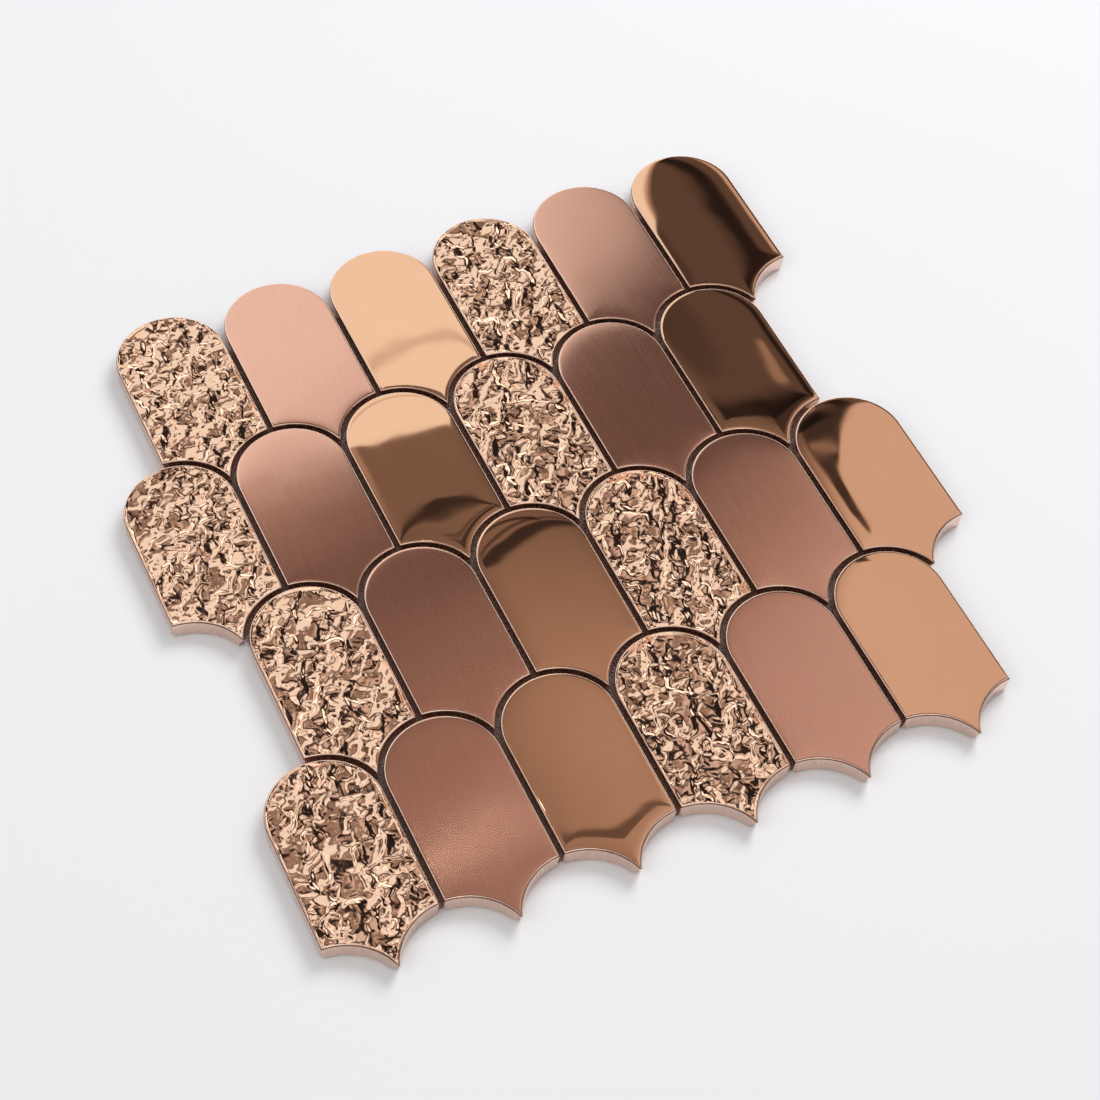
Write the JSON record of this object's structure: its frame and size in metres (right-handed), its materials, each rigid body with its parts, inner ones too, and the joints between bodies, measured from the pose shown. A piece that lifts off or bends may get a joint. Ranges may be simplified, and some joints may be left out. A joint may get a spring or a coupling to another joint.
{
  "type": "fish scale mosaic tile sheet",
  "caption": "Sheet of long fish scale tiles in hammered, brushed and mirror rose-gold steel over ceramic, nested in staggered rows on a backing mesh to clad a wall.",
  "frame": {"origin": "centre of the sheet on the underside of the backing mesh", "axes": "+Z out of the tiles' metal faces, +Y along the tiles towards their round heads, +X along a row, from its first tile to its last"},
  "size_m": [0.31, 0.323, 0.008],
  "materials": {
    "hammered_steel": "rose-gold coated, hammered and polished",
    "brushed_steel": "rose-gold coated, brushed along the tile",
    "mirror_steel": "rose-gold coated, mirror polished",
    "ceramic": "fired, unglazed",
    "glass_fibre_mesh": "open mesh of laid yarns, coated"
  },
  "bodies": {
    "root": {"hammered_caps": "hammered_steel", "brushed_caps": "brushed_steel", "mirror_caps": "mirror_steel", "ceramic_cores": "ceramic", "backing_mesh": "glass_fibre_mesh"}
  },
  "joints": []
}
